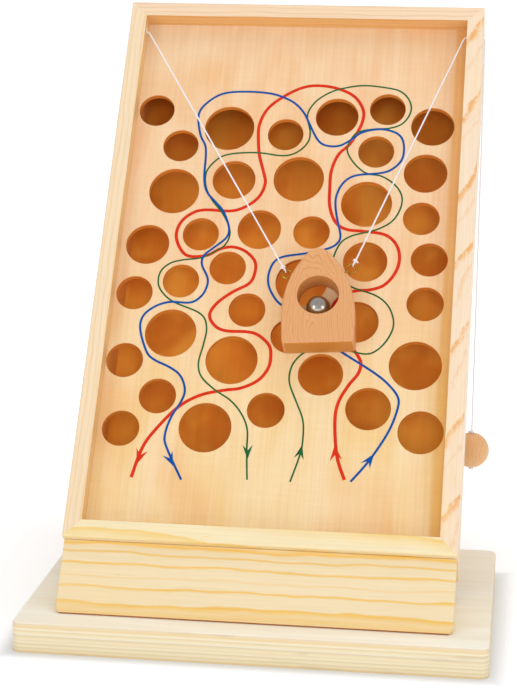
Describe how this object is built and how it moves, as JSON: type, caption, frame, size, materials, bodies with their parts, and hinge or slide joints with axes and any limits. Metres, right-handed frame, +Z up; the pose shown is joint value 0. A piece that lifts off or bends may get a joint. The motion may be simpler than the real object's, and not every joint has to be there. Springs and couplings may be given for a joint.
{
  "type": "string lift ball game",
  "caption": "Tabletop wooden game: a leaning board full of round holes and a block that two pull cords raise, carrying a steel ball along printed routes.",
  "frame": {"origin": "centre of the foot plate's underside, on the table", "axes": "+Z up, -Y towards the player, +X to the player's right"},
  "size_m": [0.297, 0.326, 0.39],
  "materials": {
    "foot_plywood": "satin lacquered birch-faced plywood",
    "panel_pine": "satin lacquered pine",
    "rail_pine": "satin lacquered pine",
    "board_plywood": "satin lacquered plywood with printed lines",
    "back_plywood": "matt plywood",
    "beech": "satin lacquered beech",
    "dowel": "raw beech dowel",
    "brass": "bright brass",
    "ball_steel": "polished steel",
    "screw_steel": "zinc-plated steel",
    "cord": "white twisted cord"
  },
  "bodies": {
    "frame": {"foot_plate": "foot_plywood", "front_panel": "panel_pine", "left_cheek": "rail_pine", "right_cheek": "rail_pine", "bottom_rail": "rail_pine", "top_rail": "rail_pine", "left_side_board": "rail_pine", "right_side_board": "rail_pine", "play_board": "board_plywood", "back_panel": "back_plywood", "base_screws": "screw_steel", "panel_dowels": "dowel", "back_panel_pins": "screw_steel", "left_guide_cord": "cord", "right_guide_cord": "cord"},
    "shuttle": {"shuttle_block": "beech", "left_screw_eye": "brass", "right_screw_eye": "brass", "left_eye_knot": "cord", "right_eye_knot": "cord", "left_inner_cord": "cord", "right_inner_cord": "cord"},
    "ball": {"steel_ball": "ball_steel"},
    "left_cord": {"left_outer_cord": "cord"},
    "left_handle": {"left_handle_ball": "beech", "left_handle_knot": "cord"},
    "right_cord": {"right_outer_cord": "cord"},
    "right_handle": {"right_handle_ball": "beech", "right_handle_knot": "cord"}
  },
  "joints": [
    {"name": "shuttle_lift", "type": "slide", "parent": "frame", "child": "shuttle", "axis": [0, 0.5878, 0.809], "range_m": [-0.1255, 0.05], "deforming": ["left_inner_cord", "right_inner_cord"]},
    {"name": "ball_lift_out", "type": "slide", "parent": "shuttle", "child": "ball", "axis": [0, -0.809, 0.5878], "range_m": [0, 0.04]},
    {"name": "left_cord_swing", "type": "hinge", "parent": "frame", "child": "left_cord", "pos_m": [-0.1272, 0.17619, 0.36831], "axis": [0, 1, 0], "range_deg": [0, 60]},
    {"name": "left_handle_pull", "type": "slide", "parent": "left_cord", "child": "left_handle", "axis": [0, 0, -1], "range_m": [-0.112, 0.046], "deforming": ["left_outer_cord"]},
    {"name": "right_cord_swing", "type": "hinge", "parent": "frame", "child": "right_cord", "pos_m": [0.1272, 0.17619, 0.36831], "axis": [0, -1, 0], "range_deg": [0, 60]},
    {"name": "right_handle_pull", "type": "slide", "parent": "right_cord", "child": "right_handle", "axis": [0, 0, -1], "range_m": [-0.121, 0.05], "deforming": ["right_outer_cord"]}
  ],
  "couplings": [
    {"joint": "left_handle_pull", "follows": "shuttle_lift", "ratio": 0.88},
    {"joint": "right_handle_pull", "follows": "shuttle_lift", "ratio": 0.951}
  ]
}
